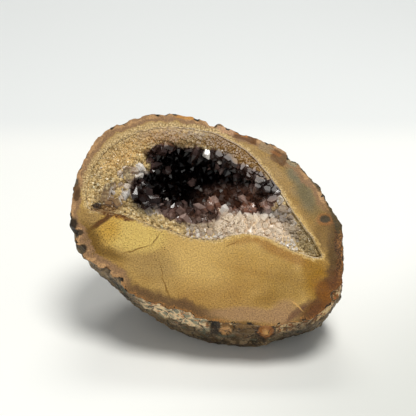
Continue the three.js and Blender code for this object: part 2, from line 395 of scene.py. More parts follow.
def make_stone():
    skin, pocket = walls_of("agate_stone")
    natural_pocket(pocket)
    mark(pocket, "origin", FROM_POCKET)
    finish_with(skin, "REMESH", mode="VOXEL", voxel_size=metres(RIND_GRAIN))
    before = BVHTree.FromObject(skin, bpy.context.evaluated_depsgraph_get())
    roughen(skin)
    mark(skin, "origin", FROM_RIND)
    block = saw_block()
    combine(skin, "DIFFERENCE", block)
    combine(skin, "DIFFERENCE", pocket)
    delete_piece(block)

    mesh = skin.data
    origin = np.round(marks(mesh, "origin"))
    is_cut = origin == FROM_SAW
    is_rind = origin == FROM_RIND
    rim = loop_points(mesh, is_cut, is_rind)
    mouth = loop_points(mesh, is_cut, origin == FROM_POCKET)
    points = coords(mesh)
    store(mesh, "rind_gap", distances(points, rim))
    store(mesh, "druse_gap", distances(points, mouth))
    heights = []
    for point in map(Vector, points):
        skin_point, outward, face, gap = before.find_nearest(point)
        heights.append((point - skin_point).dot(outward) / MM)
    store(mesh, "carved", RIND_LIFT - np.array(heights))
    mesh.materials.clear()
    mesh.materials.append(sawn_agate())
    mesh.materials.append(weathered_rind())
    mesh.polygons.foreach_set("material_index", is_rind.astype(np.int32))
    mesh.polygons.foreach_set("use_smooth", is_rind)
    skin.name = "agate_nodule"
    return skin, pocket, mouth


# The crust of crystals

# Kinds of crystal, and how high one is over its radius and how far it leans
SUGAR = "sugar"
NUGGET = "nugget"
AMETHYST = "amethyst"
CRYSTAL_HEIGHT = {SUGAR: (0.9, 1.7), NUGGET: (1.0, 1.9), AMETHYST: (1.2, 2.1)}
CRYSTAL_SWAY = {SUGAR: 1.5, NUGGET: 0.9, AMETHYST: 0.9}
LEDGE_LEAN = 0.6  # how far the crystals of the lower ledge lean towards the hollow
EDGE_ROW = 1.1  # how far from the pocket's edge the small crystals stand that reach up to the cut
UNDER_CUT = 0.08  # how far the tips stay under the cut
ROOT = 0.9  # how deep a crystal stands in the crust, in radii
LARGE = 0.95  # crystals of this radius and more are planted first
LARGEST = 2.1
WALL_CLEAR = 0.6  # how far from the pocket the crust's inner wall is at least
FLAT_TOP = 0.05  # how near its own plane a face of the crust's top lies
LONG_REACH = 5.4  # more than two crystals' reach, the cell in which a touching one is looked for
NOT_BRIGHT = 0.98  # the most tone that an ordinary crystal has
BODY_TONE = 0.35  # the tone of the crust between its crystals
CANDIDATES = 60000
PACKING = 0.72  # how close neighbours stand, as a share of their two radii

# Zones of the crust, as ellipses of the opening seen from the front: middle, radii, turn in degrees
SIGHT_RISE = 0.364  # how much lower in the opening a place is seen for each millimetre that it is deep
# the part of the hollow in shade: amethyst grows there, and painted shade darkens its crystals
HOLLOW_IN_SHADE = (
    ((-5, 18), (17, 12.5), -12), ((12, 15), (13.5, 8.5), -28), ((-21, 14), (7.5, 7), 10),
    ((-16, 28), (7, 4), 5), ((22, 13.5), (4, 5), -40), ((-7, 5.5), (11.5, 4.2), -8), ((3, 25), (8, 4), -22),
)
# the slope of the hollow lit from above, where smaller amethyst grows and painted light brightens its
# crystals; the low lip gets weaker painted light
LIT_SLOPE = ((9.5, 9.6), (14, 6.2), -6)
LOW_LIP = ((-7, 4.2), (12, 3.2), -8)
WHITE_NUGGETS = (
    ((-33.5, 12.5), (5, 4), 0), ((-28, 20.5), (5, 3), 0), ((-14, 6), (9, 3), -10), ((24, 12), (3, 7), 30),
)

# Middle and radius of the crystals that stand out, in the same view of the opening
BRIGHT_CRYSTALS = (
    ((-33.9, 12.9), 2.0), ((-30.0, 12.2), 1.7), ((-25.2, 20.3), 1.8), ((-35.5, 8.7), 1.3),
    ((-16.2, 9.4), 1.2), ((-0.3, 28.2), 1.9), ((4.9, 14.2), 1.0), ((8.0, 8.4), 1.1), ((5.6, 5.6), 1.9),
    ((18.6, 16.8), 1.8), ((23.6, 2.6), 1.4), ((-1.6, 9.0), 1.1), ((11.5, 3.4), 1.5), ((-20.8, 22.0), 1.1),
    ((4.4, 25.2), 0.9), ((-2.6, 15.0), 0.8),
)
NEAR_ENOUGH = 0.5  # how close to its place such a crystal has to stand

# Least and most radius of the crystals in each zone, and the share of large ones there
EDGE_SUGAR = (0.28, 0.46)
OUTER_SUGAR = (0.32, 0.7)
INNER_SUGAR = (0.32, 1.0)
INNER_FROM = 3  # how deep under the cut the larger sugar starts
SLOPE_SMALL, SLOPE_LARGE, SLOPE_SHARE = (0.4, 0.85), (1.0, 1.5), 0.02
HOLLOW_SMALL, HOLLOW_LARGE, HOLLOW_SHARE = (0.6, 1.2), (1.2, 1.9), 0.05
WHITE_LARGE, WHITE_SHARE = (1.0, 1.8), 0.16
LEDGE_SMALL, LEDGE_LARGE, LEDGE_SHARE = (0.5, 0.95), (1.0, 1.7), 0.5
LEDGE_ACROSS = (-8, 32)
LEDGE_TOP = 6
LEDGE_LARGE_FROM = (-2, -3)  # u and level past which the ledge has its large crystals


def crystal_blank(name, point_share, off_centre):
    """A six-sided crystal of radius 1 from z = -1 to z = 1, with a point that is a little off its axis."""
    bpy.ops.object.select_all(action="DESELECT")
    bpy.ops.mesh.primitive_cylinder_add(
        vertices=6, radius=1, depth=2 - point_share, location=(0, 0, -point_share / 2)
    )
    blank = bpy.context.object
    blank.name = name
    bpy.ops.object.transform_apply(location=True, rotation=True, scale=True)
    middle, normal = face_facts(blank.data)
    edit_faces(blank, normal[:, 2] > 0.9)
    lift = (off_centre, off_centre / 2, point_share)
    bpy.ops.mesh.extrude_region_move(TRANSFORM_OT_translate={"value": lift})
    bpy.ops.mesh.merge(type="CENTER")
    bpy.ops.mesh.select_all(action="SELECT")
    bpy.ops.mesh.quads_convert_to_tris()
    bpy.ops.object.mode_set(mode="OBJECT")
    return blank


def hollow_wall(base, plug_wall):
    """The crust's inner wall, in an order that is the same in every run: corners, normal and area.

    Its triangles are those well clear of the pocket, or on the crust's top under the cut.
    """
    wall = []
    for polygon in base.data.polygons:
        ring = [tuple(round(c, 7) for c in base.data.vertices[i].co) for i in polygon.vertices]
        first = ring.index(min(ring))
        ring = [Vector(c) for c in ring[first:] + ring[:first]]
        for part in tessellate_polygon([ring]):
            corners = [ring[i] for i in sorted(part)]
            middle = sum(corners, Vector()) / 3
            u, v, w = in_cut_axes([middle])[0]
            level = abs(w + RIM_DROP - v * RIM_SLOPE) < FLAT_TOP
            on_top = level and polygon.normal.dot(CUT_OUT) > FACES_OUT
            if on_top or plug_wall.find_nearest(middle)[3] > metres(WALL_CLEAR):
                wall.append((corners, Vector(polygon.normal), area_tri(*corners)))
    return sorted(wall, key=lambda part: [tuple(corner) for corner in part[0]])


def inside_any(places, across, up):
    """Whether a place is inside one of some ellipses of the opening: middle, radii, turn in degrees."""
    for (x, y), (long, short), turn in places:
        c, s = math.cos(math.radians(turn)), math.sin(math.radians(turn))
        right, above = across - x, up - y
        if ((right * c + above * s) / long) ** 2 + ((above * c - right * s) / short) ** 2 < 1:
            return True
    return False


def planned_radius(random, u, v, depth, gap):
    """The radius that a crystal grows to at a place of the hollow, and its kind."""
    level = v - SIGHT_RISE * depth
    if gap < EDGE_ROW:
        return random.uniform(*EDGE_SUGAR), SUGAR
    if inside_any((LIT_SLOPE,), u, level):
        large = random.random() < SLOPE_SHARE
        return random.uniform(*(SLOPE_LARGE if large else SLOPE_SMALL)), AMETHYST
    if inside_any(HOLLOW_IN_SHADE, u, level):
        large = random.random() < HOLLOW_SHARE
        return random.uniform(*(HOLLOW_LARGE if large else HOLLOW_SMALL)), AMETHYST
    if inside_any(WHITE_NUGGETS, u, level) and random.random() < WHITE_SHARE:
        return random.uniform(*WHITE_LARGE), NUGGET
    if level < LEDGE_TOP and LEDGE_ACROSS[0] < u < LEDGE_ACROSS[1]:
        across, up = LEDGE_LARGE_FROM
        large = u > across and level > up and random.random() < LEDGE_SHARE
        return random.uniform(*(LEDGE_LARGE if large else LEDGE_SMALL)), NUGGET
    return random.uniform(*(OUTER_SUGAR if depth < INNER_FROM else INNER_SUGAR)), SUGAR


class Neighbours:
    """Crystals by the cell of space that they stand in, to find those that are near."""

    def __init__(self, cell):
        self.cell = cell
        self.cells = {}

    def home(self, point):
        return tuple(int(math.floor(c / self.cell)) for c in point)

    def add(self, point, item):
        self.cells.setdefault(self.home(point), []).append((point, item))

    def near(self, point):
        x, y, z = self.home(point)
        for i in (-1, 0, 1):
            for j in (-1, 0, 1):
                for k in (-1, 0, 1):
                    yield from self.cells.get((x + i, y + j, z + k), ())


def plant_crystals(base, plug_wall, mouth):
    """Chooses where crystals stand, the few large ones first, none closer than it can grow.

    Every candidate draws from its own numbers, so that one which falls elsewhere doesn't move the rest.
    """
    wall = hollow_wall(base, plug_wall)
    areas = np.array([area for corners, normal, area in wall])
    picks = np.random.default_rng(SEED).choice(len(wall), size=CANDIDATES, p=areas / areas.sum())
    tree = kdtree.KDTree(len(mouth))
    for index, point in enumerate(mouth):
        tree.insert(point, index)
    tree.balance()
    seeds = []
    awaited = list(BRIGHT_CRYSTALS)
    for number, index in enumerate(picks):
        random = np.random.default_rng((SEED, number))
        (a, b, c), normal, area = wall[index]
        s, t = random.random(2)
        if s + t > 1:
            s, t = 1 - s, 1 - t
        point = a + (b - a) * s + (c - a) * t
        out = (normal + (point - plug_wall.find_nearest(point)[0]).normalized()).normalized()
        u, v, w = in_cut_axes([point])[0]
        gap = tree.find(point)[2] / MM
        radius, kind = planned_radius(random, u, v, -w, gap)
        if gap < EDGE_ROW:
            out = (normal + CUT_OUT * 2).normalized()
        elif kind == NUGGET and v < LEDGE_TOP:
            out = (out + CUT_UP * LEDGE_LEAN).normalized()
        rise = max(-w - UNDER_CUT, 0) if gap < EDGE_ROW and w > -3 else 0
        seen = (u, v + SIGHT_RISE * w)
        here = [known for known in awaited if math.dist(known[0], seen) < NEAR_ENOUGH]
        for bright in here:
            awaited.remove(bright)
            radius, kind = bright[1], NUGGET
        seeds.append((radius, kind, point, out, rise, bool(here), number))
    seeds.sort(key=lambda seed: (not seed[5], -max(seed[0], LARGE)))
    planted = []
    standing = Neighbours(metres(2 * PACKING * LARGEST))
    for radius, kind, point, out, rise, bright, number in seeds:
        if all((point - q).length >= PACKING * metres(radius + r) for q, r in standing.near(point)):
            standing.add(point, radius)
            planted.append((radius, kind, point, out, rise, bright, number))
    return planted


def crystal_sets(planted):
    """Every crystal's turned and sized frame, sorted into sets in which no two touch."""
    sets = []
    for radius, kind, point, out, rise, bright, number in planted:
        random = np.random.default_rng((SEED, number, 1))
        low, high = CRYSTAL_HEIGHT[kind]
        height = radius * random.uniform(low, high)
        sway = Vector(random.uniform(-0.5, 0.5, 3)) * (0.4 if rise else CRYSTAL_SWAY[kind])
        axis = (out + sway).normalized()
        height = max(height, rise * random.uniform(0.85, 1.0) / max(axis.dot(CUT_OUT), 0.5))
        turn = axis.to_track_quat("Z", "Y").to_matrix() @ Matrix.Rotation(random.uniform(0, math.pi), 3, "Z")
        root = ROOT * radius
        half = (height + root) / 2
        middle = point + axis * metres((height - root) / 2)
        over = in_cut_axes([point + axis * metres(height)])[0][2] + UNDER_CUT
        if over > 0:
            middle -= CUT_OUT * metres(over)
        size = Matrix.Diagonal((metres(radius), metres(radius * random.uniform(0.8, 1.0)), metres(half)))
        reach = metres(math.hypot(radius, half))
        tone = random.uniform(0, NOT_BRIGHT)
        placed = (middle, np.array(turn @ size), kind, 1.0 if bright else tone, int(random.integers(3)))
        for group, around in sets:
            if all((middle - m).length > reach + r for m, r in around.near(middle)):
                break
        else:
            group, around = [], Neighbours(metres(LONG_REACH))
            sets.append((group, around))
        group.append(placed)
        around.add(middle, reach)
    return [group for group, around in sets]


def set_piece(name, group, blanks):
    """One mesh of separate crystals from their frames."""
    points, faces, tones, materials = [], [], [], []
    start = 0
    for middle, shape, kind, tone, form in group:
        mesh = blanks[form].data
        points.append(coords(mesh) @ shape.T + np.array(middle))
        for polygon in mesh.polygons:
            faces.append([start + i for i in polygon.vertices])
            tones.append(tone)
            materials.append((SUGAR, NUGGET, AMETHYST).index(kind))
        start += len(mesh.vertices)
    joined = bpy.data.meshes.new(name)
    joined.from_pydata(np.concatenate(points).tolist(), [], faces)
    for recipe in crystal_materials():
        joined.materials.append(recipe)
    joined.polygons.foreach_set("material_index", materials)
    store(joined, "tone", tones, "FACE")
    piece = bpy.data.objects.new(name, joined)
    bpy.context.scene.collection.objects.link(piece)
    return piece


def make_crust(pocket, mouth):
    """The crust: its packed form with crystals grown on it, kept inside its pocket and the cut."""
    plug = duplicate(pocket)
    finish_with(plug, "DISPLACE", direction="NORMAL", strength=metres(-CRUST_GAP), mid_level=0.0)
    plug_wall = BVHTree.FromObject(plug, bpy.context.evaluated_depsgraph_get())
    back, hollow = walls_of("crystal_crust")
    delete_piece(back)
    base = duplicate(plug)
    inside = duplicate(plug)
    finish_with(inside, "DISPLACE", direction="NORMAL", strength=metres(-RIM_SKIN), mid_level=0.0)
    base_block = saw_block(RIM_DROP, RIM_SLOPE)
    combine(base_block, "INTERSECT", inside)
    block = saw_block()
    for cutter in (hollow, base_block, block):
        combine(base, "DIFFERENCE", cutter)
    for used in (hollow, inside, base_block):
        delete_piece(used)
    base.data.materials.clear()
    planted = plant_crystals(base, plug_wall, mouth)
    sets = crystal_sets(planted)
    blanks = [
        crystal_blank("crystal_sharp", 0.85, 0.12),
        crystal_blank("crystal_blunt", 0.6, -0.3),
        crystal_blank("crystal_slim", 1.1, 0.25),
    ]
    for recipe in crystal_materials():
        base.data.materials.append(recipe)
    mark(base, "tone", BODY_TONE)
    for index, group in enumerate(sets):
        grown = set_piece(f"crystals_{index}", group, blanks)
        combine(base, "UNION", grown)
        delete_piece(grown)
    combine(base, "DIFFERENCE", block)
    combine(base, "INTERSECT", plug)
    for used in [plug, block, *blanks]:
        delete_piece(used)
    base.name = "crystal_druse"
    return base


# Materials

class Recipe:
    """Lays out one material's nodes."""

    def __init__(self, name):
        self.material = bpy.data.materials.new(name)
        self.material.use_nodes = True
        self.tree = self.material.node_tree
        self.shader = self.tree.nodes["Principled BSDF"]

    def node(self, kind, inputs=(), **settings):
        made = self.tree.nodes.new(kind)
        for name, value in settings.items():
            setattr(made, name, value)
        for key, value in dict(inputs).items():
            if isinstance(value, bpy.types.NodeSocket):
                self.tree.links.new(value, made.inputs[key])
            elif value is not None:
                made.inputs[key].default_value = value
        return made

    def link(self, value, socket):
        self.tree.links.new(value, self.shader.inputs[socket])

    def place(self):
        """The place in the cut's axes, in millimetres."""
        turned = CUT_AXES @ CUT_MIDDLE
        coordinates = self.node("ShaderNodeTexCoord").outputs["Object"]
        return self.node(
            "ShaderNodeMapping",
            {
                "Vector": coordinates, "Scale": (1 / MM,) * 3,
                "Rotation": CUT_AXES.to_euler(), "Location": -turned / MM,
            },
        ).outputs[0]

    def noise(self, where, size, detail=2.0, roughness=0.5, colour=False):
        made = self.node(
            "ShaderNodeTexNoise",
            {"Vector": where, "Scale": 1 / size, "Detail": detail, "Roughness": roughness},
        )
        return made.outputs["Color" if colour else "Fac"]

    def crack_gap(self, where, size):
        """How far a place is from the nearest crack between cells of that size."""
        return self.node(
            "ShaderNodeTexVoronoi", {"Vector": where, "Scale": 1 / size}, feature="DISTANCE_TO_EDGE"
        ).outputs["Distance"]

    def stirred(self, where, size, amount):
        """The place moved about by noise, so that what is drawn there has no ruled edges."""
        push = self.node(
            "ShaderNodeVectorMath",
            {0: self.noise(where, size, 3.0, colour=True), 1: (0.5, 0.5, 0.5)}, operation="SUBTRACT",
        ).outputs[0]
        scaled = self.node(
            "ShaderNodeVectorMath", {0: push, "Scale": 2 * amount}, operation="SCALE"
        ).outputs[0]
        return self.node("ShaderNodeVectorMath", {0: where, 1: scaled}, operation="ADD").outputs[0]

    def math(self, operation, a, b):
        return self.node("ShaderNodeMath", {0: a, 1: b}, operation=operation).outputs[0]

    def both(self, share, *others):
        """How far a place is inside all of some shares."""
        for other in others:
            share = self.math("MULTIPLY", share, other)
        return share

    def between(self, value, low, high, start=0.0, end=1.0):
        made = self.node(
            "ShaderNodeMapRange",
            {"Value": value, "From Min": low, "From Max": high, "To Min": start, "To Max": end},
            interpolation_type="SMOOTHSTEP",
        )
        return made.outputs[0]

    def attribute(self, name):
        return self.node("ShaderNodeAttribute", attribute_name=name).outputs["Fac"]

    def mix(self, share, a, b, blend="MIX"):
        made = self.node("ShaderNodeMix", {0: share, 6: a, 7: b}, data_type="RGBA", blend_type=blend)
        return made.outputs[2]

    def ramp(self, value, stops):
        made = self.node("ShaderNodeValToRGB", {0: value})
        elements = made.color_ramp.elements
        elements[0].position, elements[0].color = stops[0]
        elements[1].position, elements[1].color = stops[-1]
        for position, colour in stops[1:-1]:
            elements.new(position).color = colour
        return made.outputs[0]

    def seen_from(self, where, middle, radii, turn):
        """The place as a shape's own axes give it, 1 at the shape's edge; flat shapes reach any depth."""
        return self.node(
            "ShaderNodeMapping",
            {
                "Vector": where, "Location": (*middle, 0.0)[:3], "Rotation": (0, 0, math.radians(turn)),
                "Scale": (*radii, 1e6)[:3],
            },
            vector_type="TEXTURE",
        ).outputs[0]

    def patch(self, where, middle, radii, turn=0.0, softness=0.25):
        """How far inside an ellipse of the cut, or an ellipsoid, a place is, with a soft edge."""
        seen = self.seen_from(where, middle, radii, turn)
        length = self.node("ShaderNodeVectorMath", {0: seen}, operation="LENGTH").outputs["Value"]
        return self.between(length, 1 + softness, 1 - softness)

    def block(self, where, middle, radii, turn, softness):
        """How far inside a four-sided block of the cut a place is."""
        seen = self.seen_from(where, middle, radii, turn)
        sides = self.node("ShaderNodeVectorMath", {0: seen}, operation="ABSOLUTE").outputs[0]
        across, up, out = self.node("ShaderNodeSeparateXYZ", {0: sides}).outputs
        return self.between(self.math("MAXIMUM", across, up), 1 + softness, 1 - softness)

    def bump(self, height, distance, strength):
        return self.node(
            "ShaderNodeBump", {"Height": height, "Distance": metres(distance), "Strength": strength}
        ).outputs[0]


# Colours of the cut
TAN = srgb(174, 140, 74)
PALE_TAN = srgb(195, 161, 94)
BROWN_TAN = srgb(152, 112, 48)
GOLD = srgb(184, 140, 48)
CREAM_OCHRE = srgb(206, 176, 98)
OLIVE = srgb(104, 74, 14)
MAUVE_BROWN = srgb(88, 62, 38)
PALE_MAUVE = srgb(156, 122, 84)
GLOW = srgb(142, 102, 16)
RED_BROWN = srgb(98, 52, 2)
ORANGE = srgb(164, 112, 58)
PEACH = srgb(184, 144, 100)
GREY_GREEN = srgb(104, 98, 72)
CREAM = srgb(220, 184, 112)
DARK_BARK = srgb(30, 22, 10)
CRACK = srgb(112, 76, 20)


def paint(r, colour, paints, shape=Recipe.patch):
    """Lays soft-edged shapes over a colour: where, middle, radii, turn, softness, strength, new colour."""
    for where, middle, radii, turn, softness, strength, new in paints:
        inside = shape(r, where, middle, radii, turn, softness)
        colour = r.mix(r.both(inside, strength), colour, new)
    return colour


def paint_bands(r, colour, where, ragged):
    """The bands that follow the rind: mauve and rust below and on the right, peach over mauve elsewhere."""
    u, v, w = r.node("ShaderNodeSeparateXYZ", {0: where}).outputs
    lower = r.between(r.math("SUBTRACT", v, r.both(u, 0.35)), -4.0, -16.0)
    upper = r.math("SUBTRACT", 1.0, lower)
    broad = r.both(r.between(v, -12.0, -24.0), r.between(u, 8.0, -2.0))
    on_right = r.both(r.between(u, 26.0, 38.0), r.between(v, 10.0, -2.0))
    colour = r.mix(r.both(lower, r.between(ragged, 5.6, 2.8), 0.45), colour, MAUVE_BROWN)
    colour = r.mix(r.both(broad, r.between(ragged, 4.6, 2.2), 0.8), colour, MAUVE_BROWN)
    colour = r.mix(r.both(on_right, r.between(ragged, 6.6, 4.0)), colour, srgb(90, 66, 30))
    colour = r.mix(r.both(upper, r.between(ragged, 3.8, 2.3)), colour, srgb(140, 108, 76))
    patchy = r.between(r.noise(where, 2.6, 3.0), 0.42, 0.55, 0.2, 0.9)
    colour = r.mix(r.both(upper, patchy, r.between(ragged, 1.7, 1.0)), colour, PEACH)
    gritty = r.between(r.noise(where, 0.7, 3.0, 0.7), 0.4, 0.64)
    grit = r.mix(gritty, srgb(58, 38, 14), srgb(112, 74, 36))
    colour = r.mix(r.both(on_right, r.between(ragged, 2.9, 2.3)), colour, grit)
    line = r.both(lower, r.between(ragged, 1.3, 0.7))
    return r.mix(r.both(line, r.between(gritty, 0.0, 1.0, 0.15, 0.7)), colour, ORANGE)


def sawn_agate():
    """The honed cut: tan agate with a golden eye, mauve and brown bands along the rind, and cracks."""
    r = Recipe("sawn_agate")
    where = r.place()
    drawn = r.stirred(where, 7.0, 1.1)
    fine = r.stirred(where, 1.6, 0.55)
    thin = r.stirred(where, 3.0, 0.6)
    chunky = r.stirred(where, 2.2, 0.8)
    rind_gap = r.attribute("rind_gap")
    ragged = r.math("ADD", rind_gap, r.between(r.noise(where, 3.2, 3.0), 0.2, 0.8, -0.9, 0.9))

    colour = r.ramp(r.noise(where, 13.0, 3.0), [(0.25, BROWN_TAN), (0.5, TAN), (0.75, PALE_TAN)])
    colour = paint(r, colour, [
        # paler upwards, greyer on the left, beige on the right of the hollow
        (drawn, (-4, -7), (17, 6.5), -6, 0.6, 0.8, PALE_TAN),
        (drawn, (-3, -16.5), (11, 8), -6, 0.7, 0.8, srgb(198, 164, 96)),
        (drawn, (16, -16), (13, 6), -16, 0.7, 0.6, srgb(168, 130, 60)),
        (drawn, (2, -27), (17, 4), -4, 0.6, 0.7, srgb(154, 116, 56)),
        (drawn, (-20, -15), (10, 6), -30, 0.6, 0.6, srgb(150, 122, 74)),
        (drawn, (25, 12), (26, 12), -55, 0.3, 0.9, srgb(148, 116, 62)),
        (drawn, (30.5, 3), (11, 3.2), -58, 0.5, 0.6, srgb(188, 154, 94)),
        (drawn, (35.5, 12), (3.4, 8), 22, 0.6, 0.85, GREY_GREEN),
        (drawn, (31.5, 20), (3.5, 2.5), -40, 0.6, 0.8, srgb(112, 108, 86)),
        # older growth lines in the field
        (drawn, (27, -10.2), (15.5, 1.9), -28, 0.55, 0.75, srgb(156, 112, 52)),
        (drawn, (13.5, -5.6), (6, 1.2), 6, 0.6, 0.5, srgb(156, 112, 52)),
        (drawn, (24, -5.6), (13, 1.1), -27, 0.6, 0.6, srgb(206, 172, 112)),
        (drawn, (22, -18.5), (15, 1.6), -14, 0.7, 0.4, BROWN_TAN),
        (drawn, (4, -22), (20, 2.4), -5, 0.8, 0.3, BROWN_TAN),
        (drawn, (21, -26.5), (5.5, 2.4), 18, 0.7, 0.6, srgb(128, 92, 24)),
        (drawn, (28, -21), (8, 5.5), -10, 0.6, 0.6, srgb(144, 112, 50)),
        # the golden eye, rimmed with brown, and the olive stain behind it
        (drawn, (-27, -2.6), (12.5, 6.6), -8, 0.3, 0.95, CREAM_OCHRE),
        (fine, (-35.8, -1.4), (4.2, 5.2), -20, 0.6, 0.75, GOLD),
        (fine, (-31, 4.4), (6, 1.7), -12, 0.5, 0.9, srgb(196, 138, 44)),
        (drawn, (-42.8, 3), (4.2, 3.6), 0, 0.5, 0.85, srgb(150, 120, 70)),
        (fine, (-38.2, 1.6), (6.6, 0.95), 37, 0.45, 0.95, srgb(84, 46, 6)),
        (drawn, (-42, -5), (3.6, 6.4), 28, 0.55, 0.9, OLIVE),
        (drawn, (-35.5, -10), (6.4, 2), -18, 0.7, 0.8, OLIVE),
        # the yellow glow and the red-brown edge at the lower right
        (drawn, (38.4, -20), (5, 8.5), 12, 0.5, 0.9, GLOW),
    ])
    colour = paint_bands(r, colour, where, ragged)
    low_right = r.patch(where, (43, -27), (11, 10), 30, 0.35)
    colour = r.mix(r.both(low_right, r.between(ragged, 6.5, 3.6, 0.0, 0.6)), colour, RED_BROWN)
    colour = paint(r, colour, [
        (drawn, (15, -32.2), (14, 2.6), -3, 0.35, 0.9, PALE_MAUVE),
        (drawn, (25.5, -31), (5, 3.4), 35, 0.4, 0.85, PALE_MAUVE),
        (drawn, (30.2, -31.6), (5.4, 1.2), 42, 0.6, 0.75, srgb(96, 62, 44)),
        (drawn, (41, -3.5), (3.4, 7), -8, 0.5, 0.7, srgb(112, 84, 42)),
        (fine, (40, -24), (2.6, 5), 30, 0.6, 0.5, srgb(136, 84, 10)),
        (fine, (12.5, -36), (5.2, 1.5), 0, 0.3, 0.8, srgb(104, 76, 34)),
        (fine, (41.9, 2.4), (2.9, 2.3), 0, 0.3, 0.7, srgb(150, 98, 48)),
        (fine, (41.9, 2.6), (1.9, 1.5), 0, 0.25, 0.95, srgb(62, 54, 36)),
        (fine, (-8, 43), (4.4, 0.8), -8, 0.4, 0.7, srgb(196, 136, 52)),
        (chunky, (-47.4, 11.5), (1.1, 2.2), -12, 0.25, 0.85, srgb(78, 54, 28)),
        # cracks
        (thin, (-25.2, -8.7), (5.2, 0.26), 18, 0.7, 0.85, CRACK),
        (thin, (-18.6, -5), (2.9, 0.24), 57, 0.7, 0.7, CRACK),
        (thin, (-16.2, -16.5), (3.2, 0.18), -78, 0.8, 0.6, CRACK),
        (thin, (-14.6, -22.5), (3.4, 0.26), -69, 0.7, 0.85, CRACK),
        (thin, (8.6, -6.6), (2.4, 0.22), 26, 0.7, 0.8, CRACK),
        (thin, (30.6, -28.8), (2.6, 0.26), -46, 0.6, 0.9, srgb(204, 160, 92)),
    ])

    # blocks of jasper set in the band at the top right
    colour = paint(r, colour, [
        (chunky, (6.6, 37.6), (3.4, 1.3), -14, 0.15, 0.8, srgb(186, 146, 112)),
        (chunky, (13.9, 34.6), (4.4, 1.2), -22, 0.12, 0.9, srgb(96, 58, 18)),
        (chunky, (12.4, 36), (2.6, 0.6), -22, 0.2, 0.9, srgb(160, 104, 46)),
        (chunky, (21.4, 30.4), (2.8, 1.5), -33, 0.12, 0.85, srgb(146, 124, 92)),
        (chunky, (26.2, 26.6), (3, 2.3), -33, 0.2, 0.85, srgb(92, 58, 24)),
        (fine, (25.2, 28.2), (2.2, 0.6), -33, 0.4, 0.8, srgb(146, 94, 46)),
        (fine, (27.4, 26.2), (1.6, 1.2), 20, 0.4, 0.7, srgb(112, 86, 54)),
        (chunky, (30.9, 24.6), (2, 1.1), -36, 0.12, 0.85, srgb(142, 130, 102)),
        (chunky, (37.6, 20), (1.5, 8), 33, 0.3, 0.85, srgb(70, 62, 36)),
        (chunky, (45.4, 5), (1.5, 8), 17, 0.3, 0.85, srgb(66, 58, 32)),
    ], Recipe.block)

    # brown where the eye meets the crystals, and a paler sugary fringe along the rest of them
    u, v, w = r.node("ShaderNodeSeparateXYZ", {0: where}).outputs
    wander = r.between(r.noise(where, 1.8, 3.0), 0.3, 0.7, -0.6, 0.6)
    wandering = r.math("ADD", r.attribute("druse_gap"), wander)
    fringe = r.both(r.between(wandering, 1.4, 0.3), r.between(u, -8.0, 4.0, 0.3, 0.6))
    colour = r.mix(fringe, colour, CREAM)
    sugar_reach = r.both(r.between(v, 6.0, 16.0, 0.8, 1.9), r.between(u, 20.0, 0.0, 0.5, 1.0))
    pale_ring = r.both(r.between(wandering, 6.5, 3.0), r.between(v, 8.0, 16.0, 0.0, 0.75))
    pale_ring = r.both(pale_ring, r.between(u, 4.0, -6.0, 0.3, 1.0))
    colour = r.mix(r.both(pale_ring, r.between(ragged, 2.6, 4.2)), colour, srgb(182, 156, 112))
    sugary = r.between(r.math("SUBTRACT", wandering, sugar_reach), 0.6, -0.9)
    sugar_grains = r.ramp(r.noise(where, 0.6, 2.0, 0.6), [
        (0.36, srgb(104, 84, 52)), (0.45, srgb(166, 140, 94)), (0.55, srgb(200, 172, 120)),
        (0.64, srgb(230, 206, 160)),
    ])
    colour = r.mix(r.both(sugary, 0.8), colour, sugar_grains)
    eye_edge = r.both(r.patch(where, (-32, 5), (7, 5), 0, 0.3), r.between(wandering, 1.6, 0.8))
    broken = r.between(r.noise(where, 0.8, 3.0), 0.35, 0.55, 0.5, 1.0)
    colour = r.mix(r.both(eye_edge, broken), colour, srgb(88, 48, 6))

    # the granular look of honed chalcedony
    grain = r.noise(where, 0.5, 3.0, 0.75)
    shades = r.ramp(grain, [
        (0.34, srgb(104, 96, 84)), (0.5, srgb(188, 188, 188)), (0.66, srgb(244, 238, 224)),
    ])
    colour = r.mix(0.55, colour, shades, "OVERLAY")
    specks = r.between(r.noise(where, 0.75, 2.0, 0.6), 0.6, 0.7)
    colour = r.mix(r.both(specks, 0.4), colour, srgb(92, 70, 26))
    behind_eye = r.patch(drawn, (-37, -4), (10, 9), -20, 0.7)
    stained = r.math("ADD", behind_eye, r.patch(drawn, (-16.5, -8), (3.4, 8), 10, 0.8))
    dark_specks = r.between(r.noise(where, 0.6, 2.0, 0.6), 0.56, 0.64)
    colour = r.mix(r.both(dark_specks, stained, 0.8), colour, srgb(66, 44, 6))
    colour = paint(r, colour, [
        (fine, (-48.6, 0.8), (1.9, 2.6), 0, 0.3, 0.95, DARK_BARK),
        (fine, (-46, -2.4), (1.7, 1.2), 0, 0.3, 0.9, DARK_BARK),
        (fine, (-44.4, -8.4), (1.7, 1.6), 0, 0.3, 0.95, DARK_BARK),
        (fine, (-47.8, 14), (1.3, 3.4), 0, 0.4, 0.8, srgb(78, 52, 26)),
        (fine, (-35.6, -16.6), (1.2, 1.9), -20, 0.3, 0.8, srgb(86, 52, 14)),
    ])
    chipped = r.between(r.noise(where, 3.4, 4.0, 0.7), 0.5, 0.62, -0.25, 0.75)
    colour = r.mix(r.between(r.math("SUBTRACT", rind_gap, chipped), 0.15, -0.1), colour, DARK_BARK)
    r.link(colour, "Base Color")
    r.link(r.between(r.noise(where, 3.0), 0.3, 0.7, 0.45, 0.65), "Roughness")
    r.shader.inputs["Specular IOR Level"].default_value = 0.18
    r.link(r.bump(grain, 0.08, 0.6), "Normal")
    return r.material


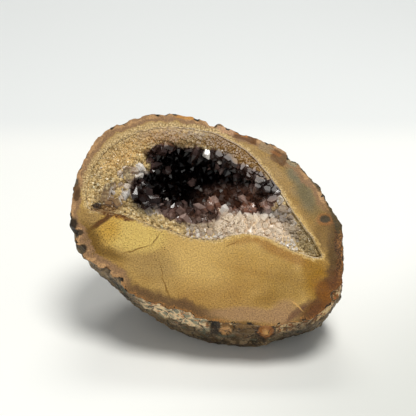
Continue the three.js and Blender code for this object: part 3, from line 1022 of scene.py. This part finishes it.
def weathered_rind():
    """The nodule's skin: brown and grey-green, darker in its pits, with cream, orange and mossy patches."""
    r = Recipe("weathered_rind")
    where = r.place()
    stirred = r.stirred(where, 5.0, 2.0)
    fine = r.stirred(where, 1.4, 0.5)
    carved = r.attribute("carved")
    ragged = r.math("ADD", r.attribute("rind_gap"), r.between(r.noise(where, 2.5, 3.0), 0.2, 0.8, -1.2, 1.2))
    u, v, w = r.node("ShaderNodeSeparateXYZ", {0: where}).outputs
    broad = r.noise(stirred, 9.0, 4.0, 0.6)
    colour = r.ramp(broad, [
        (0.32, srgb(46, 36, 20)), (0.44, srgb(92, 72, 44)), (0.54, srgb(120, 98, 66)),
        (0.66, srgb(80, 76, 54)), (0.75, srgb(58, 56, 42)),
    ])
    colour = r.mix(r.between(r.noise(stirred, 4.5, 4.0, 0.65), 0.52, 0.6), colour, srgb(150, 126, 94))
    colour = r.mix(r.between(r.noise(stirred, 3.4, 3.0), 0.58, 0.66), colour, srgb(84, 86, 68))
    colour = r.mix(r.between(r.noise(stirred, 5.3, 4.0, 0.7), 0.6, 0.7), colour, srgb(128, 84, 46))

    # cream blotched with grey-green under the cut's lower left edge, orange and brown to its right
    under = r.between(v, -14.0, -20.0)
    left = r.both(under, r.between(u, 1.5, -1.0), r.between(u, -29.0, -18.0))
    blotches = r.between(r.crack_gap(r.stirred(where, 2.2, 0.9), 3.2), 0.06, 0.22)
    blotched = r.mix(r.both(blotches, 0.85), srgb(244, 214, 168), srgb(122, 128, 108))
    blotched = r.mix(r.between(r.noise(where, 1.6, 3.0), 0.56, 0.64), blotched, srgb(196, 132, 76))
    colour = r.mix(r.both(left, r.between(ragged, 10.0, 7.5)), colour, blotched)
    right = r.both(under, r.between(u, -1.0, 1.5))
    streaky = r.mix(r.between(r.noise(where, 1.9, 3.0), 0.45, 0.56), srgb(128, 88, 36), srgb(232, 198, 144))
    streaky = r.mix(r.between(r.noise(where, 1.2, 3.0), 0.57, 0.63), streaky, srgb(170, 92, 30))
    colour = r.mix(r.both(right, r.between(ragged, 8.0, 5.5)), colour, streaky)
    colour = paint(r, colour, [
        (fine, (12.8, -38, -3.5), (5.4, 5, 6.5), 0, 0.2, 0.9, srgb(92, 64, 20)),
        (fine, (12, -38, -1.5), (4, 4, 2), 0, 0.4, 0.7, srgb(136, 96, 40)),
        (fine, (2.6, -36, -5), (1.9, 6, 10), 0, 0.25, 0.95, srgb(44, 30, 10)),
        (fine, (6.2, -38, -8), (2.5, 5, 5), 0, 0.2, 0.9, srgb(206, 152, 92)),
        (fine, (20, -38, -5.5), (3.7, 6, 9), 0, 0.12, 0.95, srgb(50, 30, 8)),
        (fine, (20, -38, -5.5), (2.9, 5, 7.5), 0, 0.15, 0.95, srgb(168, 104, 40)),
        (fine, (20, -38, -5), (1.3, 5, 3.5), 0, 0.35, 0.9, srgb(226, 172, 100)),
        (fine, (32, -40), (12, 5), 20, 0.4, 0.85, srgb(46, 38, 24)),
        (fine, (-49, 0.8), (3, 3), 0, 0.3, 0.9, DARK_BARK),
    ])
    colour = r.mix(r.between(carved, 2.6, 4.2), colour, DARK_BARK)
    cracks = r.between(r.crack_gap(r.stirred(where, 3.0, 1.6), 5.5), 0.045, 0.015)
    colour = r.mix(r.both(cracks, 0.85), colour, srgb(26, 18, 8))
    soil = r.between(r.noise(where, 0.8, 3.0, 0.7), 0.42, 0.3)
    colour = r.mix(r.both(soil, r.between(left, 0.0, 1.0, 1.0, 0.4)), colour, srgb(38, 30, 16))
    light_grains = r.between(r.noise(where, 0.6, 2.0, 0.6), 0.6, 0.7)
    colour = r.mix(r.both(light_grains, 0.5), colour, srgb(190, 168, 130))
    r.link(colour, "Base Color")
    r.link(r.between(r.noise(where, 2.0), 0.3, 0.7, 0.5, 0.8), "Roughness")
    rough = r.bump(r.noise(where, 0.8, 5.0, 0.7), 0.6, 0.9)
    r.link(rough, "Normal")
    return r.material


def crystal_recipe(name, tones, cloud, roughness, transmission, shine):
    """Quartz whose colour goes by each crystal's tone, its place round the hollow and how deep it stands,
    with painted shade in the hollow and painted light on its lit slope.
    """
    r = Recipe(name)
    where = r.place()
    drawn = r.stirred(where, 4.0, 1.2)
    depth = r.both(r.node("ShaderNodeSeparateXYZ", {0: where}).outputs[2], -1.0)
    colour = r.ramp(r.attribute("tone"), tones)
    colour = r.mix(r.between(r.noise(where, 1.2, 3.0), 0.4, 0.7, 0.0, 0.6), colour, cloud)
    u, v, w = r.node("ShaderNodeSeparateXYZ", {0: drawn}).outputs
    level = r.math("ADD", v, r.both(w, SIGHT_RISE))
    seen = r.node("ShaderNodeCombineXYZ", {0: u, 1: level}).outputs[0]
    colour = paint(r, colour, [
        (seen, (11, 28), (14, 5), -38, 0.5, 0.85, srgb(138, 94, 26)),
        (seen, (13, 0), (20, 4.6), -8, 0.35, 0.75, srgb(248, 224, 194)),
        (seen, (-6, 2), (9, 3), -12, 0.5, 0.6, srgb(160, 136, 104)),
        (seen, (-8, 33), (15, 2.6), 0, 0.5, 0.6, srgb(130, 92, 50)),
        (seen, (27, 5), (5, 3), -35, 0.5, 0.6, srgb(116, 90, 68)),
        (seen, (-37, 11), (4, 3), 0, 0.5, 0.5, srgb(120, 88, 56)),
        (drawn, (-37, 6.6), (7, 2.4), 20, 0.5, 0.8, srgb(120, 76, 26)),
        (drawn, (-40, 8), (1.6, 1.3), 0, 0.3, 0.9, srgb(40, 20, 10)),
        (drawn, (-30, 29), (11, 4), 35, 0.6, 0.6, srgb(232, 192, 124)),
        (drawn, (-16, 36), (9, 3), 5, 0.6, 0.4, srgb(196, 146, 104)),
        (drawn, (34, -5), (9, 3), -55, 0.5, 0.65, srgb(112, 92, 54)),
    ])
    # painted light: the slope lit from above, and more weakly the low lip, are painted pale pink where they
    # lie in the hollow
    low_lip = r.both(r.patch(seen, *LOW_LIP, 0.4), 0.4)
    slope = r.math("MAXIMUM", r.patch(seen, *LIT_SLOPE, 0.35), low_lip)
    # the hollow, deeper than 7 mm or inside its zones in shade: its crystals take the mauve of amethyst, and
    # painted shade below that
    hollow = r.between(depth, 7.0, 11.0)
    for zone in HOLLOW_IN_SHADE:
        hollow = r.math("MAXIMUM", hollow, r.patch(seen, *zone, 0.1))
    mauve = r.mix(r.between(r.noise(where, 3.0, 3.0), 0.4, 0.6), srgb(96, 58, 46), srgb(150, 112, 104))
    stands_out = r.between(r.attribute("tone"), 0.985, 0.995)
    mottled = r.between(r.noise(where, 0.7, 2.0, 0.6), 0.42, 0.56, 0.65, 0.0)
    colour = r.mix(r.both(mottled, r.between(depth, 0.6, 0.1)), colour, srgb(128, 96, 50))
    # the crystals that stand out are left out of the hollow's mauve and its painted shade
    hollow = r.both(hollow, r.math("SUBTRACT", 1.0, stands_out))
    colour = r.mix(r.both(hollow, 0.8), colour, mauve)
    # painted light: pale pink over the crystals of the lit slope
    painted_light = r.both(slope, hollow, r.between(r.noise(where, 2.4, 3.0), 0.34, 0.6, 0.75, 1.0))
    painted_light_pink = r.mix(r.between(r.attribute("tone"), 0.2, 1.0), srgb(158, 108, 84), srgb(240, 206, 190))
    colour = r.mix(painted_light, colour, painted_light_pink)
    # painted shade: near-black over the rest of the hollow, stronger the deeper a crystal stands; crystals
    # of the highest tones are spared, so a few pale ones show in the dark
    dark = r.both(r.math("SUBTRACT", hollow, painted_light), r.between(r.attribute("tone"), 0.96, 0.92))
    painted_hollow_shade = r.both(dark, r.between(depth, 1.5, 5.0, 0.75, 1.0))
    colour = r.mix(painted_hollow_shade, colour, srgb(13, 6, 6))
    colour = r.mix(r.between(r.noise(where, 0.55, 2.0, 0.6), 0.6, 0.68, 0.0, 0.5), colour, srgb(70, 50, 24))
    colour = paint(r, colour, [
        # the shaded ends of the hollow
        (seen, (-23, 8.4), (6, 3.8), -20, 0.5, 0.75, srgb(22, 13, 11)),
        (seen, (20.6, 13.8), (3.4, 4), -40, 0.4, 0.8, srgb(18, 9, 8)),
        (seen, (5.5, 27.2), (4.4, 2.2), -25, 0.5, 0.7, srgb(48, 30, 20)),
    ])
    r.link(colour, "Base Color")
    r.shader.inputs["Specular IOR Level"].default_value = shine
    r.shader.inputs["Roughness"].default_value = roughness
    r.shader.inputs["IOR"].default_value = 1.544
    r.shader.inputs["Transmission Weight"].default_value = transmission
    return r.material


def crystal_materials():
    """Sugary quartz at the rim, clearer nuggets at the lip and amethyst inside, in that order."""
    if "sugar_quartz" not in bpy.data.materials:
        crystal_recipe(
            "sugar_quartz",
            [
                (0.0, srgb(84, 66, 34)), (0.16, srgb(150, 122, 72)), (0.4, srgb(206, 176, 116)),
                (0.75, srgb(240, 212, 152)), (0.9, srgb(250, 232, 192)), (1.0, srgb(176, 172, 136)),
            ],
            srgb(250, 226, 172), 0.3, 0.08, 0.4,
        )
        crystal_recipe(
            "clear_quartz",
            [
                (0.0, srgb(150, 120, 98)), (0.3, srgb(214, 190, 168)), (0.65, srgb(250, 240, 228)),
                (1.0, srgb(240, 232, 226)),
            ],
            srgb(255, 246, 226), 0.14, 0.22, 0.5,
        )
        crystal_recipe(
            "amethyst",
            [
                (0.0, srgb(58, 34, 26)), (0.3, srgb(96, 62, 56)), (0.6, srgb(132, 98, 94)),
                (0.85, srgb(170, 144, 138)), (1.0, srgb(226, 216, 210)),
            ],
            srgb(170, 140, 134), 0.12, 0.4, 0.25,
        )
    return [bpy.data.materials[n] for n in ("sugar_quartz", "clear_quartz", "amethyst")]


# The studio

LENS = 70.0
SENSOR = 36.0
IMAGE = 416  # the photograph's width and height in pixels
LOOK_DOWN = math.radians(25)
PIXELS_PER_MM = 2.8  # at the middle of the cut
CUT_MIDDLE_DROP = 18.0  # pixels from the picture's middle down to the middle of the cut
LAMP_COLOUR = (1.0, 0.98, 0.94)
FLOOR_TURNS_GREY = (170.0, 240.0)  # where the pale floor fades into the grey of the background: painted shade far back


def make_camera():
    focal = IMAGE * LENS / SENSOR
    distance = focal / PIXELS_PER_MM
    view = Vector((0, math.cos(LOOK_DOWN), -math.sin(LOOK_DOWN)))
    up = Vector((0, math.sin(LOOK_DOWN), math.cos(LOOK_DOWN)))
    data = bpy.data.cameras.new("camera")
    data.lens = LENS
    data.sensor_width = SENSOR
    data.clip_start = 0.01
    data.clip_end = 20
    camera = bpy.data.objects.new("camera", data)
    bpy.context.scene.collection.objects.link(camera)
    drop = CUT_MIDDLE_DROP / focal * distance
    camera.location = CUT_MIDDLE - view * metres(distance) + up * metres(drop)
    camera.rotation_euler = (math.pi / 2 - LOOK_DOWN, 0, 0)
    bpy.context.scene.camera = camera


def floor_paint():
    r = Recipe("pale_floor")
    coordinates = r.node("ShaderNodeTexCoord").outputs["Object"]
    across, depth, up = r.node("ShaderNodeSeparateXYZ", {0: coordinates}).outputs
    near, far = [metres(d) for d in FLOOR_TURNS_GREY]
    # painted shade: the floor is darker towards the right front and fades to light grey far back
    frontward = r.math("SUBTRACT", across, depth)
    floor = r.mix(r.between(frontward, metres(20), metres(130)), srgb(242, 243, 240), srgb(212, 214, 210))
    r.link(r.mix(r.between(depth, near, far), floor, srgb(230, 233, 233)), "Base Color")
    r.shader.inputs["Roughness"].default_value = 0.9
    r.shader.inputs["Specular IOR Level"].default_value = 0.1
    return r.material


def make_floor():
    bpy.ops.object.select_all(action="DESELECT")
    bpy.ops.mesh.primitive_plane_add(size=6)
    floor = bpy.context.object
    floor.name = "floor"
    floor.data.materials.append(floor_paint())


def soft_light(name, place, size, power, aim=(0.0, 0.0, 0.035)):
    data = bpy.data.lights.new(name, "AREA")
    data.shape = "DISK"
    data.size = size
    data.energy = power
    data.color = LAMP_COLOUR
    light = bpy.data.objects.new(name, data)
    light.location = place
    light.rotation_euler = (Vector(aim) - Vector(place)).to_track_quat("-Z", "Y").to_euler()
    bpy.context.scene.collection.objects.link(light)


def make_lights():
    soft_light("key", (0.16, -0.16, 0.95), 0.4, 6.6)
    soft_light("front_fill", (-0.1, -1.0, 0.4), 0.6, 1.1)
    soft_light("backdrop_wash", (0.0, 1.3, 1.5), 1.0, 15.0, aim=(0.0, 1.4, 0.0))
    world = bpy.data.worlds.new("studio")
    world.use_nodes = True
    background = world.node_tree.nodes["Background"]
    background.inputs["Color"].default_value = (0.95, 0.98, 1.0, 1)
    background.inputs["Strength"].default_value = 0.3
    bpy.context.scene.world = world
    bpy.context.scene.view_settings.view_transform = "Standard"


make_camera()
make_floor()
make_lights()

nodule, crust_pocket, hollow_mouth = make_stone()
druse = make_crust(crust_pocket, hollow_mouth)
delete_piece(crust_pocket)
for piece, node, slot in ((nodule, "agate_stone", "agate"), (druse, "crystal_crust", "quartz_crystal")):
    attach(piece, "root")
    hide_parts(node)
